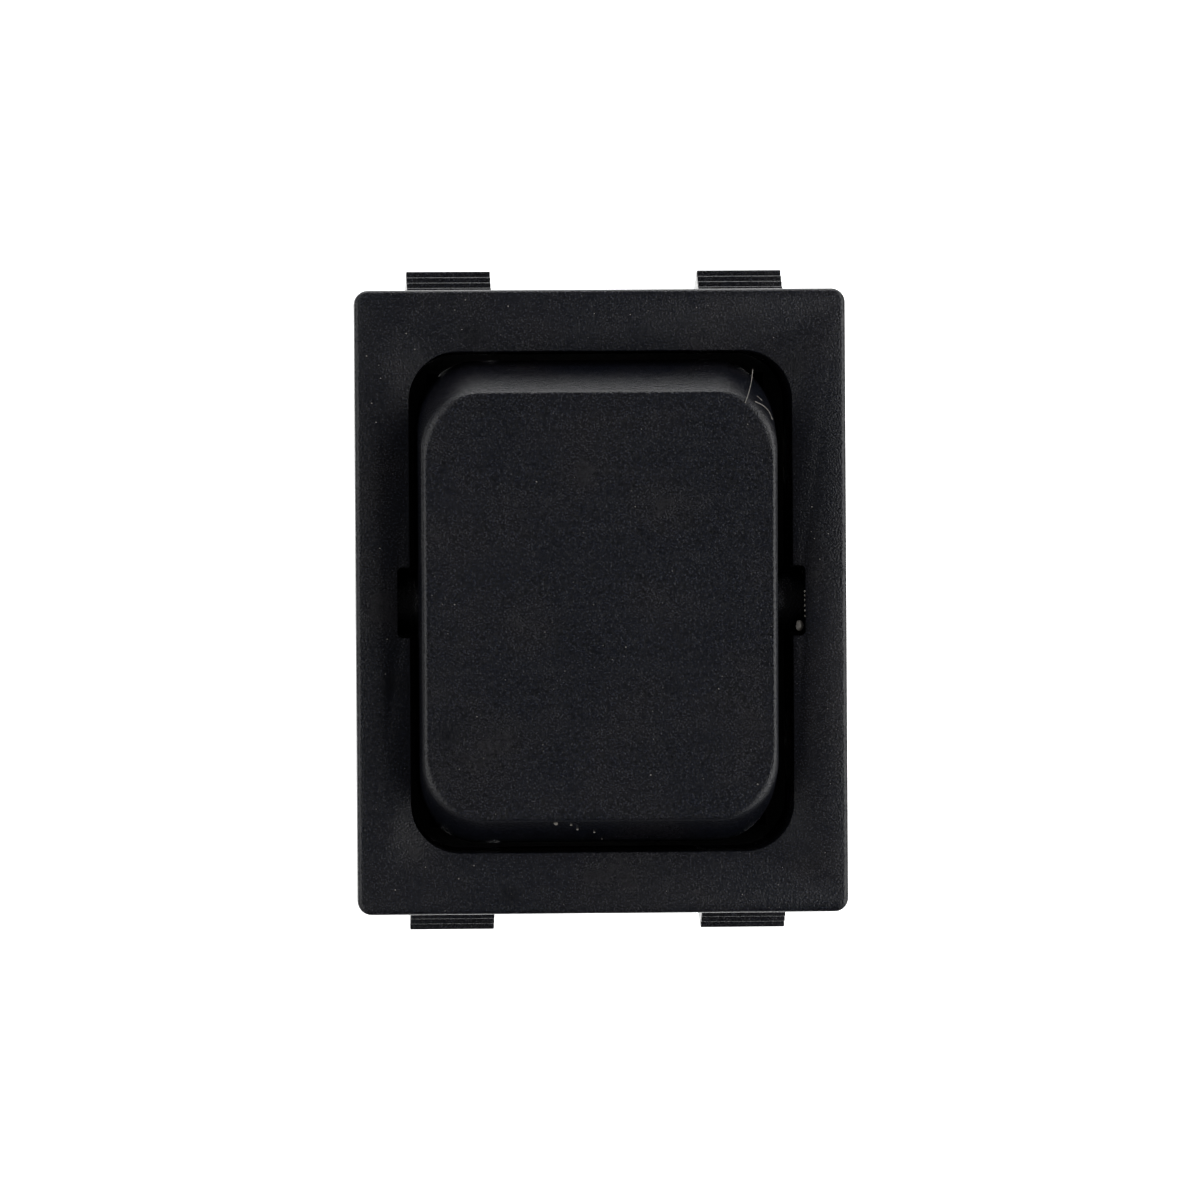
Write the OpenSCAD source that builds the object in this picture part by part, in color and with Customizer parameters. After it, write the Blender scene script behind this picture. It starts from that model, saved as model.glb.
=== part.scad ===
// Snap-in panel rocker switch: a wide momentary paddle in a plain rectangular bezel,
// two poles, centre off, six blade terminals.
// +Z points out of the panel, +Y along the paddle and +X across it. The origin is the centre
// of the panel cut-out, on the rear face of the bezel flange.

/* [Bezel] */
// Width of the bezel flange
bezel_w = 30; // [28:0.1:34]
// Height of the bezel flange
bezel_h = 38.1; // [36.5:0.1:42]
// Thickness of the bezel flange
bezel_t = 3; // [2.6:0.1:3.4]
// Radius of the bezel's outer corners
bezel_r = 0.85; // [0.4:0.05:2]
// Width of the opening for the paddle
opening_w = 23.4; // [23.2:0.1:24]
// Height of the opening for the paddle
opening_h = 30.6; // [30.5:0.1:31.2]
// Radius of the opening's corners
opening_r = 3; // [2.4:0.1:3.4]
// Length of the two side slots that let the pivot pins in
entry_slot_l = 4.3; // [4:0.1:4.6]
// Depth of those slots beyond the opening's edge
entry_slot_d = 0.75; // [0.6:0.05:0.9]

/* [Skirt] */
// Width of the skirt that goes through the panel
skirt_w = 27.8; // [27.4:0.1:27.9]
// Height of the skirt that goes through the panel
skirt_h = 35.2; // [34.9:0.1:35.6]
// Depth of the skirt behind the panel face
skirt_d = 15; // [14.5:0.1:16]

/* [Snap legs] */
// Width of one spring leg
leg_w = 5.2; // [4:0.1:5.6]
// Distance between the two legs at one end
leg_pitch = 18; // [16:0.1:18.4]
// Thickness of a leg
leg_t = 1.3; // [1:0.1:1.6]
// Number of steps on a leg, one for each panel thickness
step_count = 7; // [4:1:8]
// Distance between steps along the panel's thickness
step_pitch = 0.6; // [0.5:0.05:0.7]
// Distance by which each step stands outside the one in front of it
step_rise = 0.34; // [0.2:0.02:0.36]
// How far a step's back falls away from its edge
step_relief = 0.16; // [0.05:0.01:0.2]
// Distance from the cut-out's centre to the edge of the widest step
leg_reach = 20.35; // [19.9:0.05:20.6]
// Thinnest panel that the legs hold
grip_min = 2.1; // [2.05:0.05:2.5]

/* [Paddle] */
// Width of the paddle at its pivot
paddle_w = 22; // [21.6:0.1:22.3]
// Draft of the paddle's long sides, in degrees
side_draft = 1.5; // [0.5:0.5:2]
// Length of the paddle's flat face
face_l = 26; // [25.6:0.1:26.2]
// Height of the level paddle's face above the bezel
face_rise = 3.5; // [3.2:0.1:3.6]
// Depth of the pivot behind the bezel's front
pivot_d = 3.5; // [3.2:0.1:3.6]
// Radius of the face's corners
paddle_r = 3.7; // [3:0.1:4]
// Thickness of the paddle's face
face_t = 2; // [1.6:0.1:2.4]
// Thickness of the paddle's walls
paddle_wall = 1.5; // [1.2:0.1:1.7]
// Swing of the paddle to each side of level, in degrees
throw = 8; // [6:0.5:8]
// Angle at which the springs leave the paddle, off level, in degrees
rest_tilt = 2; // [0:0.5:3]
// How far to the left the paddle has settled within its side play
side_shift = 0.24; // [0:0.02:0.3]

/* [Pivot] */
// Radius of the two pivot pins
pin_r = 1.9; // [1.7:0.05:1.95]
// Distance from the middle of the switch to a pin's end
pin_reach = 13.2; // [13:0.1:13.4]
// Gap round pins and plungers
running_gap = 0.05; // [0.03:0.01:0.08]

/* [Plungers] */
// Distance between the two poles
pole_pitch = 13; // [12.6:0.1:13.2]
// Radius of a plunger
plunger_r = 1.6; // [1.5:0.05:1.7]
// Distance from the pivot down to a plunger's tip
plunger_drop = 8.7; // [8.6:0.05:8.75]
// Length of a plunger
plunger_l = 8; // [7.6:0.1:8.2]
// Wire diameter of a plunger spring
wire_d = 0.4; // [0.3:0.05:0.45]
// Number of turns in a plunger spring
spring_turns = 6; // [4:1:7]

/* [Contacts] */
// Depth of the see-saw fulcrum behind the panel face
fulcrum_d = 11; // [11:0.05:11.1]
// Distance from the fulcrum to a contact
contact_arm = 9.3; // [9.2:0.1:9.4]
// Radius of a contact
contact_r = 1.75; // [1.5:0.05:1.8]
// Slope of the see-saw's valley on each side, in degrees
valley_slope = 10; // [8:1:11]
// Width of a see-saw
seesaw_w = 5.8; // [5:0.1:6]

/* [Terminals] */
// Width of a blade
blade_w = 6.35; // [6.3:0.05:6.4]
// Thickness of a blade
blade_t = 0.81; // [0.79:0.01:0.83]
// Distance from the panel face to the blades' tips
blade_reach = 26; // [25:0.1:28]
// Radius of the detent hole in a blade
blade_hole_r = 0.85; // [0.8:0.05:1]

/* [Base] */
// Thickness of the base's floor
floor_t = 2; // [1.8:0.1:2.4]
// Thickness of the base's walls
base_wall = 1.2; // [1:0.1:1.3]
// Gap between the base's box and the skirt
base_gap = 0.1; // [0.05:0.01:0.15]

/* [Hidden] */
$fn = 64;

BLACK_NYLON = "#1c1d20";
BLACK_POLYESTER = "#17181b";
TIN = "#b9bcc0";
COPPER = "#b87048";
SILVER = "#d6d7da";
BRASS = "#c9a75a";
STEEL = "#9da1a6";

// Overlap that keeps two solids or cuts from meeting in one plane
bite = 0.5;

// Paddle: its ends are arcs about the pivot, so the gap to the bezel stays the same as it tilts
pivot_z = bezel_t - pivot_d;
face_up = face_rise + pivot_d;
swing_r = norm([face_l / 2, face_up]);
end_drop = 1.5;
// Lean of the arc's middle, halfway from its lower edge to the face's edge
end_lean = (asin(face_up / swing_r) - asin(end_drop / swing_r)) / 2;
corner_gap = 0.05;
ear_l = 8;
ear_drop = 3.2;
rib_t = 1.5;
pin_chamfer = 0.5;

// Plungers, their bosses under the paddle's face and their springs
boss_r = 2.6;
plunger_tip_z = pivot_z - plunger_drop;
plunger_top_z = plunger_tip_z + plunger_l;
// Depth of solid face left over a spring's bore
bore_cap = 2.9;
bore_up = face_up - bore_cap;
spring_r = plunger_r - wire_d;
spring_gap = 0.03;
spring_sides = 8;
spring_steps = 14;

// See-saw: its valley clears the plunger's round tip, and closed contacts clear, by tip_gap
tip_gap = 0.06;
fulcrum_z = -fulcrum_d;
ridge_r = blade_t / 2;
valley_z = plunger_tip_z + plunger_r - plunger_r / cos(valley_slope) - tip_gap;
arm_t = 1;
valley_l = 3.5;
arm_top_z = valley_z + valley_l * tan(valley_slope);
arm_bottom_z = arm_top_z - arm_t;
arm_l = contact_arm + contact_r;
hub_l = 1.2;
hub_up = 0.7;
ridge_gap_up = 0.05;

// Contacts: a domed rivet head on the see-saw meets a flat one on the terminal at full throw
head_t = 0.7;
dome_h = 0.3;
dome_r = (contact_r * contact_r + dome_h * dome_h) / (2 * dome_h);
shank_r = 0.9;
dome_centre = [contact_arm, arm_bottom_z - head_t - dome_h + dome_r - fulcrum_z];
closed_z = fulcrum_z + dome_centre[1] * cos(throw) - dome_centre[0] * sin(throw) - dome_r;
fixed_top_z = closed_z - tip_gap;
fixed_t = 0.8;
shelf_z = fixed_top_z - fixed_t;
shelf_margin = 0.25;
shelf_back = contact_arm - contact_r - shelf_margin;
blade_y = 12;

// Base
floor_z = -skirt_d;
box_top_z = -4.5;
partition_top_z = -7;
catch_y = 9;
catch_z = -10;
catch_l = 4;
catch_h = 2;
catch_out = 0.9;

// Blade tips
tip_chamfer = 1;
hole_from_tip = 3.4;

// Snap legs: rooted at the rear of the skirt, widest in the middle, free behind the flange
leg_root_z = -skirt_d + leg_t;
leg_gap = 0.2;
window_top_z = -1.7;
// Distance behind the widest step at which a leg's inner side turns
elbow_t = 1.2 * leg_t;

function step_z(k) = -(grip_min + k * step_pitch);
function step_y(k) = leg_reach - (step_count - 1 - k) * step_rise;

// ---- Shared shapes ----

module rounded_rect(w, h, r) {
  square([w - 2 * r, h], center = true);
  square([w, h - 2 * r], center = true);
  for (x = [-1, 1], y = [-1, 1])
    translate([x * (w / 2 - r), y * (h / 2 - r)]) circle(r);
}

// Extrudes a Y-Z outline across X, centred on x = 0
module across(w) {
  rotate([90, 0, 90]) linear_extrude(w, center = true) children();
}

// Turns what rides on the paddle about the pivot and moves it along the pins
module at_paddle_rest() {
  translate([-side_shift, 0, pivot_z]) rotate([rest_tilt, 0, 0]) translate([0, 0, -pivot_z]) children();
}

// Turns a see-saw the other way about its fulcrum
module at_seesaw_rest() {
  translate([0, 0, fulcrum_z]) rotate([-rest_tilt, 0, 0]) translate([0, 0, -fulcrum_z]) children();
}

// ---- Frame: bezel, skirt and four spring legs in one moulding ----

module leg_outline() {
  back = [for (k = [0:step_count - 1]) each [
    [step_y(k) - step_rise - step_relief, step_z(k)],
    [step_y(k), step_z(k)]
  ]];
  polygon(concat(
    [[step_y(0) - leg_t, step_z(0)]],
    [for (i = [1:len(back) - 1]) back[i]],
    [
      [leg_reach, step_z(step_count - 1) - step_pitch],
      [skirt_h / 2, leg_root_z - leg_t],
      [skirt_h / 2 - leg_t, leg_root_z - leg_t],
      [skirt_h / 2 - leg_t, leg_root_z],
      [leg_reach - elbow_t, step_z(step_count - 1) - step_pitch]
    ]
  ));
}

module frame_outer() {
  linear_extrude(bezel_t) rounded_rect(bezel_w, bezel_h, bezel_r);
  translate([0, 0, -skirt_d]) linear_extrude(skirt_d + bite) square([skirt_w, skirt_h], center = true);
}

module frame() {
  color(BLACK_NYLON) {
    difference() {
      frame_outer();
      // Opening for the paddle and the base, right through
      translate([0, 0, -skirt_d - bite]) linear_extrude(skirt_d + bezel_t + 2 * bite)
        rounded_rect(opening_w, opening_h, opening_r);
      // Slots that let the pivot pins down to their holes
      translate([0, 0, (pivot_z + bezel_t + bite) / 2])
        cube([opening_w + 2 * entry_slot_d, entry_slot_l, bezel_t + bite - pivot_z], center = true);
      // Pivot holes
      translate([0, 0, pivot_z]) rotate([0, 90, 0])
        cylinder(r = pin_r + running_gap, h = skirt_w, center = true);
      // Windows that the legs bend into
      for (x = [-1, 1], y = [-1, 1])
        translate([x * leg_pitch / 2, y * (skirt_h + opening_h) / 4, (leg_root_z + window_top_z) / 2])
          cube([
            leg_w + 2 * leg_gap,
            (skirt_h - opening_h) / 2 + 2 * bite,
            window_top_z - leg_root_z
          ], center = true);
      // Windows for the base's catches
      for (y = [-1, 1]) translate([0, y * catch_y, catch_z])
        cube([skirt_w + bite, catch_l + 2 * base_gap, catch_h + 2 * base_gap], center = true);
    }
    for (x = [-1, 1], turn = [0, 180])
      rotate([0, 0, turn]) translate([x * leg_pitch / 2, 0, 0]) across(leg_w) leg_outline();
  }
}

// ---- Paddle: hollow cap with pins and plunger bosses ----

// Side view about the pivot: arcs at both ends and the flat face
module paddle_side(inset) {
  r = swing_r - inset;
  low = inset > 0 ? end_drop + bite : end_drop;
  high = inset > 0 ? face_up - face_t : face_up;
  intersection() {
    circle(r, $fn = 128);
    translate([-r, -low]) square([2 * r, low + high]);
  }
}

// A block whose one upright edge leans with the paddle's end and side and rounds that corner
module corner_block(inset) {
  l = 3 * swing_r;
  rotate([end_lean, 0, 0]) rotate([0, -side_draft, 0])
    translate([paddle_w / 2 - inset - l / 2, swing_r + corner_gap - inset - l / 2, 0])
      linear_extrude(2 * swing_r, center = true) rounded_rect(l, l, paddle_r - inset);
}

module paddle_form(inset) {
  intersection() {
    across(paddle_w) paddle_side(inset);
    intersection_for(x = [0, 1]) mirror([x, 0, 0]) corner_block(inset);
    intersection_for(x = [0, 1]) rotate([0, 0, 180]) mirror([x, 0, 0]) corner_block(inset);
  }
}

module paddle_pins() {
  for (turn = [90, -90]) rotate([0, turn, 0]) {
    cylinder(r = pin_r, h = pin_reach - pin_chamfer);
    translate([0, 0, pin_reach - pin_chamfer])
      cylinder(r1 = pin_r, r2 = pin_r - pin_chamfer, h = pin_chamfer);
  }
}

module paddle_hollow() {
  difference() {
    union() {
      paddle_form(paddle_wall);
      translate([0, 0, -ear_drop])
        cube([paddle_w - 2 * paddle_wall, face_l / 2, 2 * ear_drop], center = true);
    }
    for (x = [-1, 1]) translate([x * pole_pitch / 2, 0, -ear_drop - bite])
      cylinder(r = boss_r, h = 2 * ear_drop + face_up);
    translate([-pole_pitch / 2, -rib_t / 2, 0]) cube([pole_pitch, rib_t, face_up]);
  }
}

module paddle() {
  color(BLACK_NYLON) at_paddle_rest() translate([0, 0, pivot_z]) {
    difference() {
      union() {
        paddle_form(0);
        // Ears that reach down past the pivot and carry the pins
        translate([0, 0, -ear_drop / 2]) cube([paddle_w, ear_l, ear_drop], center = true);
        paddle_pins();
      }
      paddle_hollow();
      // Bores that hold the springs and guide the plungers
      for (x = [-1, 1]) translate([x * pole_pitch / 2, 0, -ear_drop - bite])
        cylinder(r = plunger_r + running_gap, h = ear_drop + bite + bore_up);
    }
  }
}

// ---- Base: floor, box and partition that carry the terminals ----

module blade_slots() {
  for (pole = [-1, 1], row = [-1, 0, 1])
    translate([pole * pole_pitch / 2, row * blade_y, floor_z - floor_t / 2])
      cube([blade_w, blade_t, 2 * floor_t], center = true);
}

module base() {
  box_w = opening_w - 2 * base_gap;
  box_h = opening_h - 2 * base_gap;
  color(BLACK_POLYESTER) difference() {
    union() {
      translate([0, 0, floor_z - floor_t]) linear_extrude(floor_t) square([skirt_w, skirt_h], center = true);
      translate([0, 0, floor_z - floor_t / 2]) linear_extrude(box_top_z - floor_z + floor_t / 2) difference() {
        rounded_rect(box_w, box_h, opening_r);
        square([box_w - 2 * base_wall, box_h - 2 * base_wall], center = true);
      }
      // Partition between the poles, low enough in the middle to clear the paddle's rib
      translate([-base_wall / 2, -box_h / 2 + base_wall / 2, floor_z - floor_t / 2])
        cube([base_wall, box_h - base_wall, partition_top_z - floor_z + floor_t / 2]);
      // Pads under the contact shelves
      for (pole = [-1, 1], side = [-1, 1])
        translate([pole * pole_pitch / 2, side * (shelf_back + blade_y) / 2, floor_z - floor_t / 2])
          linear_extrude(shelf_z - blade_t - floor_z + floor_t / 2)
            square([blade_w, blade_y - shelf_back - blade_t], center = true);
      // Catches that click into the skirt's side windows
      for (x = [0, 1], y = [-1, 1]) mirror([x, 0, 0])
        translate([box_w / 2 - bite, y * catch_y, catch_z]) rotate([90, 0, 0])
          linear_extrude(catch_l, center = true)
            polygon([[0, -catch_h / 2], [catch_out + bite, -catch_h / 2], [bite, catch_h / 2], [0, catch_h / 2]]);
    }
    blade_slots();
  }
}

// ---- Terminals ----

// A blade's face: straight sides, corners cut at the tip, and the detent hole
module blade_outline(top) {
  tip = -blade_reach;
  difference() {
    polygon([
      [-blade_w / 2, top], [-blade_w / 2, tip + tip_chamfer], [-blade_w / 2 + tip_chamfer, tip],
      [blade_w / 2 - tip_chamfer, tip], [blade_w / 2, tip + tip_chamfer], [blade_w / 2, top]
    ]);
    translate([0, tip + hole_from_tip]) circle(blade_hole_r);
  }
}

module blade(top) {
  rotate([90, 0, 0]) linear_extrude(blade_t, center = true) blade_outline(top);
}

// The middle terminal's rounded top edge is the see-saw's fulcrum
module common_terminal(pole) {
  color(TIN) translate([pole * pole_pitch / 2, 0, 0]) {
    blade(fulcrum_z);
    translate([0, 0, fulcrum_z]) rotate([0, 90, 0]) cylinder(r = ridge_r, h = blade_w, center = true);
  }
}

// An end terminal folds inward at its top into the shelf for its contact
module end_terminal(pole, side) {
  color(TIN) translate([pole * pole_pitch / 2, 0, 0]) rotate([0, 0, side > 0 ? 0 : 180]) difference() {
    union() {
      translate([0, blade_y, 0]) blade(shelf_z - blade_t / 2);
      translate([-blade_w / 2, shelf_back, shelf_z - blade_t])
        cube([blade_w, blade_y + blade_t / 2 - shelf_back, blade_t]);
    }
    translate([0, contact_arm, shelf_z]) cylinder(r = shank_r, h = 4 * blade_t, center = true);
  }
}

module fixed_contact(pole, side) {
  color(SILVER) translate([pole * pole_pitch / 2, side * contact_arm, shelf_z]) {
    cylinder(r = contact_r, h = fixed_t);
    translate([0, 0, -blade_t]) cylinder(r = shank_r, h = blade_t + fixed_t / 2);
  }
}

// ---- See-saws and their contacts ----

module seesaw_outline() {
  half = [
    [valley_l, arm_top_z - fulcrum_z], [arm_l, arm_top_z - fulcrum_z],
    [arm_l, arm_bottom_z - fulcrum_z], [valley_l, arm_bottom_z - fulcrum_z],
    [hub_l, hub_up], [hub_l, ridge_gap_up]
  ];
  difference() {
    polygon(concat(
      [[0, valley_z - fulcrum_z]], half,
      [for (i = [len(half) - 1:-1:0]) [-half[i][0], half[i][1]]]
    ));
    circle(ridge_r + running_gap);
  }
}

module seesaw(pole) {
  color(COPPER) at_seesaw_rest() translate([pole * pole_pitch / 2, 0, fulcrum_z]) difference() {
    across(seesaw_w) seesaw_outline();
    for (side = [-1, 1]) translate([0, side * contact_arm, 0]) cylinder(r = shank_r, h = 2 * fulcrum_d);
  }
}

// Rivet with a domed head under the see-saw's arm and its shank through the arm
module moving_contact(pole, side) {
  color(SILVER) at_seesaw_rest() translate([pole * pole_pitch / 2, side * contact_arm, arm_bottom_z]) {
    translate([0, 0, -head_t]) cylinder(r = contact_r, h = head_t);
    cylinder(r = shank_r, h = arm_t);
    intersection() {
      translate([0, 0, -head_t - dome_h + dome_r]) sphere(dome_r, $fn = 128);
      translate([0, 0, -head_t - 2 * dome_h]) cylinder(r = contact_r, h = head_t + 2 * dome_h);
    }
  }
}

// ---- Plungers and their springs ----

module plunger(pole) {
  color(BRASS) at_paddle_rest() translate([pole * pole_pitch / 2, 0, plunger_tip_z + plunger_r]) {
    cylinder(r = plunger_r, h = plunger_l - plunger_r);
    sphere(plunger_r);
  }
}

// Closed tube swept along a helix, from the plunger's top to the end of its bore
module plunger_spring(pole) {
  rise = bore_up + pivot_z - plunger_top_z - wire_d - 2 * spring_gap;
  rings = spring_turns * spring_steps;
  points = [for (i = [0:rings], j = [0:spring_sides - 1])
    let (turn = 360 * i / spring_steps, side = 360 * j / spring_sides,
      out = spring_r + wire_d / 2 * cos(side))
    [out * cos(turn), out * sin(turn), rise * i / rings + wire_d / 2 * sin(side)]];
  walls = [for (i = [0:rings - 1], j = [0:spring_sides - 1])
    let (a = i * spring_sides + j, b = i * spring_sides + (j + 1) % spring_sides)
    [a, a + spring_sides, b + spring_sides, b]];
  ends = [
    [for (j = [0:spring_sides - 1]) j],
    [for (j = [spring_sides - 1:-1:0]) rings * spring_sides + j]
  ];
  color(STEEL) at_paddle_rest()
    translate([pole * pole_pitch / 2, 0, plunger_top_z + wire_d / 2 + spring_gap])
      polyhedron(points, concat(walls, ends));
}

frame();
paddle();
base();
for (pole = [["left", -1], ["right", 1]]) {
  common_terminal(pole[1]);
  seesaw(pole[1]);
  plunger(pole[1]);
  plunger_spring(pole[1]);
  for (end = [["upper", 1], ["lower", -1]]) {
    end_terminal(pole[1], end[1]);
    fixed_contact(pole[1], end[1]);
    moving_contact(pole[1], end[1]);
  }
}
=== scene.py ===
import math
import random

import bpy
from mathutils import Matrix, Vector


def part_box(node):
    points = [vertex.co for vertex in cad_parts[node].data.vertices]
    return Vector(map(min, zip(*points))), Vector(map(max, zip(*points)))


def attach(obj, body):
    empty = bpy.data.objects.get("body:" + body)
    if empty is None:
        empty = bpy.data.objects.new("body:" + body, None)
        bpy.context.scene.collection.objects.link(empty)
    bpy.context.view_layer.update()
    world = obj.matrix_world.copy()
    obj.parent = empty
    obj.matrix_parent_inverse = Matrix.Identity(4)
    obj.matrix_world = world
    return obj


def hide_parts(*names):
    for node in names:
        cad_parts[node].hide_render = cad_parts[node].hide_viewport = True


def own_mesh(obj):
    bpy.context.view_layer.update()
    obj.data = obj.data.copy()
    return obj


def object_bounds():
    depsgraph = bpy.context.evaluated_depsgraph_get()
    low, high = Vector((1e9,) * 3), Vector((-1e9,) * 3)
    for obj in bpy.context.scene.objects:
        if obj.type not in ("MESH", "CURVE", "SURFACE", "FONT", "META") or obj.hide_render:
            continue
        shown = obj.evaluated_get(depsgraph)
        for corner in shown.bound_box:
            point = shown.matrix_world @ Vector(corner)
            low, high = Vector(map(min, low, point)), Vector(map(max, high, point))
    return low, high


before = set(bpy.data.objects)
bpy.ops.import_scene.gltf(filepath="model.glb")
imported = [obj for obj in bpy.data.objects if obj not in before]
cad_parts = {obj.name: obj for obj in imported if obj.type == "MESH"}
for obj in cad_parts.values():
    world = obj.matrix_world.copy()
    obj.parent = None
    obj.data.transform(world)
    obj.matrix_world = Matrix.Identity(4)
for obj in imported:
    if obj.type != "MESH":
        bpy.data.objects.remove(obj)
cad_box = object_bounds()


# ---- Frame ----
# Bezel, skirt and four stepped spring legs, one moulding in black nylon. The mould was spark
# eroded, which leaves a fine dry grain, and its edges came out a little round.

MM = 0.001
BEZEL = (30.0, 38.1, 3.0)
BEZEL_CORNER = 0.85
BEZEL_EDGE = 0.3
SKIRT = (27.8, 35.2, 15.0)
OPENING = (23.4, 30.6)
OPENING_CORNER = 3.0
ENTRY_SLOT = (0.75, 4.3)
ENTRY_CORNER = 0.3
PIVOT_Z = -0.5
PIVOT_HOLE_R = 1.95
LEG_W = 5.2
LEG_X = 9.0
LEG_T = 1.3
LEG_REACH = 20.35
STEPS = 7
STEP_PITCH = 0.6
STEP_RISE = 0.34
STEP_RELIEF = 0.16
GRIP_MIN = 2.1
LEG_ROOT_Z = -13.7
LEG_FOOT_Z = LEG_ROOT_Z - LEG_T + 0.12
WINDOW_TOP_Z = -1.7
WINDOW_DEPTH = 3.25
LEG_GAP = 0.2
CATCH_Y = 9.0
CATCH_Z = -10.0
CATCH_WINDOW = (4.2, 2.2)
SHARP_EDGE = 0.06
SHARP_ANGLE = math.radians(40)
SMOOTH_ANGLE = math.radians(35)
CREST_ROUND = 0.13
CROWN_FROM = 2.8
NEAR = 0.01
NYLON_BLACK = "#11131a"
NYLON_GRAIN_MM = 0.12
NYLON_CLOUD_MM = 5.0
NYLON_ROUGHNESS = 0.25
NYLON_IOR = 1.53
# The next three numbers set the grain's light and dark points in the base colour, which are painted sparkle
# standing for the glints of the grain's facets.
GRAIN_PAINTED_SPARKLE_SPAN = (0.36, 0.7)
GRAIN_PAINTED_SPARKLE_DARK = 0.15
GRAIN_PAINTED_SPARKLE_LIGHT = 2.5
DUST = "#4c4136"
DUST_FILM = 0.16
GREASE_POLISH = 0.05
GREASE_DARKENING = 0.55
PALE_SPECK = "#75726d"
SPECK_CELL_MM = 0.6
SPECK_R_MM = 0.045
SPECK_RARITY = 3.0
BEZEL_SMUDGES = (((-7.7, 16.3, 3), 1.3), ((11.9, 14.4, 3), 1.2),
                 ((-12.6, -4.9, 3), 1.1), ((-5.7, -17.8, 3), 0.7))


def only(*objects):
    """Selects these objects and nothing else, and makes the first one active."""
    bpy.ops.object.select_all(action="DESELECT")
    for o in objects:
        o.select_set(True)
    bpy.context.view_layer.objects.active = objects[0]


def block(name, size, centre):
    """A box of a size at a place, in millimetres, with its place in its mesh."""
    bpy.ops.object.select_all(action="DESELECT")
    bpy.ops.mesh.primitive_cube_add(size=1)
    o = bpy.context.object
    o.name = name
    o.scale = Vector(size) * MM
    o.location = Vector(centre) * MM
    bpy.ops.object.transform_apply(location=True, rotation=False, scale=True)
    return o


def pick_edges(o, wanted):
    """Enters edit mode with the edges selected whose two ends, in millimetres, are wanted."""
    only(o)
    bpy.ops.object.mode_set(mode="EDIT")
    bpy.ops.mesh.select_mode(type="EDGE")
    bpy.ops.mesh.select_all(action="DESELECT")
    bpy.ops.object.mode_set(mode="OBJECT")
    points = [v.co / MM for v in o.data.vertices]
    for e in o.data.edges:
        e.select = wanted(points[e.vertices[0]], points[e.vertices[1]])
    bpy.ops.object.mode_set(mode="EDIT")


def round_edges(o, radius, segments, wanted):
    """Rounds the edges that are wanted. The radius is in millimetres."""
    pick_edges(o, wanted)
    bpy.ops.mesh.bevel(offset=radius * MM, segments=segments, affect="EDGES", clamp_overlap=False)
    bpy.ops.object.mode_set(mode="OBJECT")


def is_upright(a, b):
    """An edge along Z that is longer than any left by an earlier rounding."""
    return (a - b).length > 0.5 and abs(a.z - b.z) > 0.99 * (a - b).length


def modify(o, kind, **settings):
    """Adds a modifier and applies it."""
    only(o)
    m = o.modifiers.new(kind.lower(), kind)
    for key, value in settings.items():
        setattr(m, key, value)
    bpy.ops.object.modifier_apply(modifier=m.name)


def combine(o, other, operation):
    """Joins or cuts one solid with another, which is used up."""
    modify(o, "BOOLEAN", operation=operation, solver="EXACT", object=other)
    bpy.data.objects.remove(other)


def plate_outline(name, points, width):
    """A flat Y-Z outline given a width across X, centred on x = 0."""
    mesh = bpy.data.meshes.new(name)
    ring = [(-width / 2 * MM, y * MM, z * MM) for y, z in points]
    mesh.from_pydata(ring, [], [list(range(len(ring)))])
    o = bpy.data.objects.new(name, mesh)
    bpy.context.scene.collection.objects.link(o)
    only(o)
    bpy.ops.object.mode_set(mode="EDIT")
    bpy.ops.mesh.select_all(action="SELECT")
    bpy.ops.mesh.extrude_region_move(TRANSFORM_OT_translate={"value": (width * MM, 0, 0)})
    bpy.ops.mesh.select_all(action="SELECT")
    bpy.ops.mesh.normals_make_consistent(inside=False)
    bpy.ops.object.mode_set(mode="OBJECT")
    return o


def place(o, move=(0, 0, 0), turn_z=0.0):
    """Turns and moves a finished mesh itself, so that its object stays at the origin."""
    o.data.transform(Matrix.Translation(Vector(move) * MM) @ Matrix.Rotation(turn_z, 4, "Z"))


def crests():
    """The Y-Z places of the steps' edges, from the panel back."""
    return [(LEG_REACH - (STEPS - 1 - k) * STEP_RISE, -(GRIP_MIN + k * STEP_PITCH)) for k in range(STEPS)]


def is_crest(a, b):
    return (a - b).yz.length < NEAR and any((a.yz - Vector(c)).length < NEAR for c in crests())


def leg_profile():
    """A leg's Y-Z outline: down its steps to the turn, in to the skirt's wall, and back up inside."""
    steps = []
    for y, z in crests():
        if steps:
            steps.append((y - STEP_RISE - STEP_RELIEF, z))
        steps.append((y, z))
    turn_z = -(GRIP_MIN + STEPS * STEP_PITCH)
    root_y = SKIRT[1] / 2
    return [
        (steps[0][0] - LEG_T, -GRIP_MIN), *steps, (LEG_REACH, turn_z),
        (root_y, LEG_FOOT_Z), (root_y - LEG_T, LEG_FOOT_Z),
        (root_y - LEG_T, LEG_ROOT_Z), (LEG_REACH - 1.2 * LEG_T, turn_z),
    ]


bezel = block("bezel_frame", BEZEL, (0, 0, BEZEL[2] / 2))
round_edges(bezel, BEZEL_CORNER, 10, is_upright)
round_edges(bezel, BEZEL_EDGE, 4, lambda a, b: min(a.z, b.z) > BEZEL[2] - NEAR)
combine(bezel, block("skirt", (SKIRT[0], SKIRT[1], SKIRT[2] + 1), (0, 0, 0.5 - SKIRT[2] / 2)), "UNION")
hollow = block("hollow", (OPENING[0], OPENING[1], 30), (0, 0, 0))
round_edges(hollow, OPENING_CORNER, 14, is_upright)
combine(bezel, hollow, "DIFFERENCE")
slot_depth = BEZEL[2] - PIVOT_Z
slot = block("slot", (OPENING[0] + 2 * ENTRY_SLOT[0], ENTRY_SLOT[1], slot_depth + 1),
             (0, 0, PIVOT_Z + (slot_depth + 1) / 2))
round_edges(slot, ENTRY_CORNER, 4, is_upright)
combine(bezel, slot, "DIFFERENCE")
bpy.ops.object.select_all(action="DESELECT")
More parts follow.
